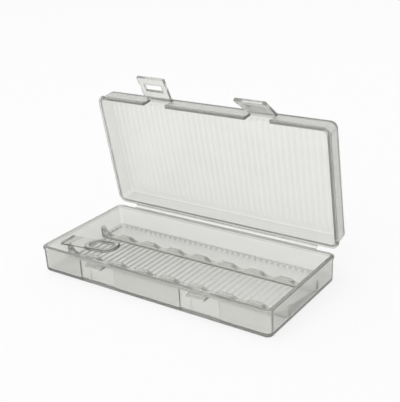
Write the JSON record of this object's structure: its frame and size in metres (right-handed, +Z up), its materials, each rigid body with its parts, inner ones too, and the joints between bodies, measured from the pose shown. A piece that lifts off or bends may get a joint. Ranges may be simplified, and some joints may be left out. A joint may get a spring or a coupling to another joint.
{
  "type": "hinged battery storage case",
  "caption": "Clear flat hinged-lid pocket case for round cells, with scalloped cradle rails, hook-over front latches and a ringed lift tab.",
  "frame": {"origin": "middle of the tray's underside, on the table", "axes": "+X along the case towards its right end, -Y towards the latches, +Y towards the hinge, +Z up"},
  "size_m": [0.1208, 0.0681, 0.0828],
  "materials": {
    "case_plastic": "satin",
    "latch_plastic": "satin",
    "tab_plastic": "polished"
  },
  "bodies": {
    "tray": {"tray_shell": "case_plastic", "front_cell_rail": "case_plastic", "rear_cell_rail": "case_plastic", "floor_ribs": "case_plastic", "wall_foot_ledge": "case_plastic", "wall_foot_ticks": "case_plastic", "left_catch": "case_plastic", "right_catch": "case_plastic", "tray_hinge_leaf": "case_plastic", "hinge_web": "case_plastic", "tab_anchor": "tab_plastic", "tab_neck": "tab_plastic"},
    "lid": {"lid_shell": "case_plastic", "lid_ribs": "case_plastic", "lid_hinge_leaf": "case_plastic", "left_latch_seat": "case_plastic", "right_latch_seat": "case_plastic", "left_latch_web": "case_plastic", "right_latch_web": "case_plastic"},
    "left_latch": {"left_latch": "latch_plastic"},
    "right_latch": {"right_latch": "latch_plastic"},
    "lift_tab": {"lift_tab": "tab_plastic"}
  },
  "joints": [
    {"name": "lid_hinge", "type": "hinge", "parent": "tray", "child": "lid", "pos_m": [0, 0.0294, 0.0126], "axis": [-1, 0, 0], "range_deg": [-80.5, 99.5], "deforming": ["hinge_web"]},
    {"name": "left_latch_hinge", "type": "hinge", "parent": "lid", "child": "left_latch", "pos_m": [-0.0268, 0.02349, 0.0722], "axis": [-1, 0, 0], "range_deg": [-75.35, 59.65], "deforming": ["left_latch_web"]},
    {"name": "right_latch_hinge", "type": "hinge", "parent": "lid", "child": "right_latch", "pos_m": [0.0268, 0.02349, 0.0722], "axis": [-1, 0, 0], "range_deg": [-48, 87], "deforming": ["right_latch_web"]},
    {"name": "tab_hinge", "type": "hinge", "parent": "tray", "child": "lift_tab", "pos_m": [-0.0573, -0.0126, 0.0096], "axis": [0, -1, 0], "range_deg": [-12, 12], "deforming": ["tab_neck"]}
  ]
}
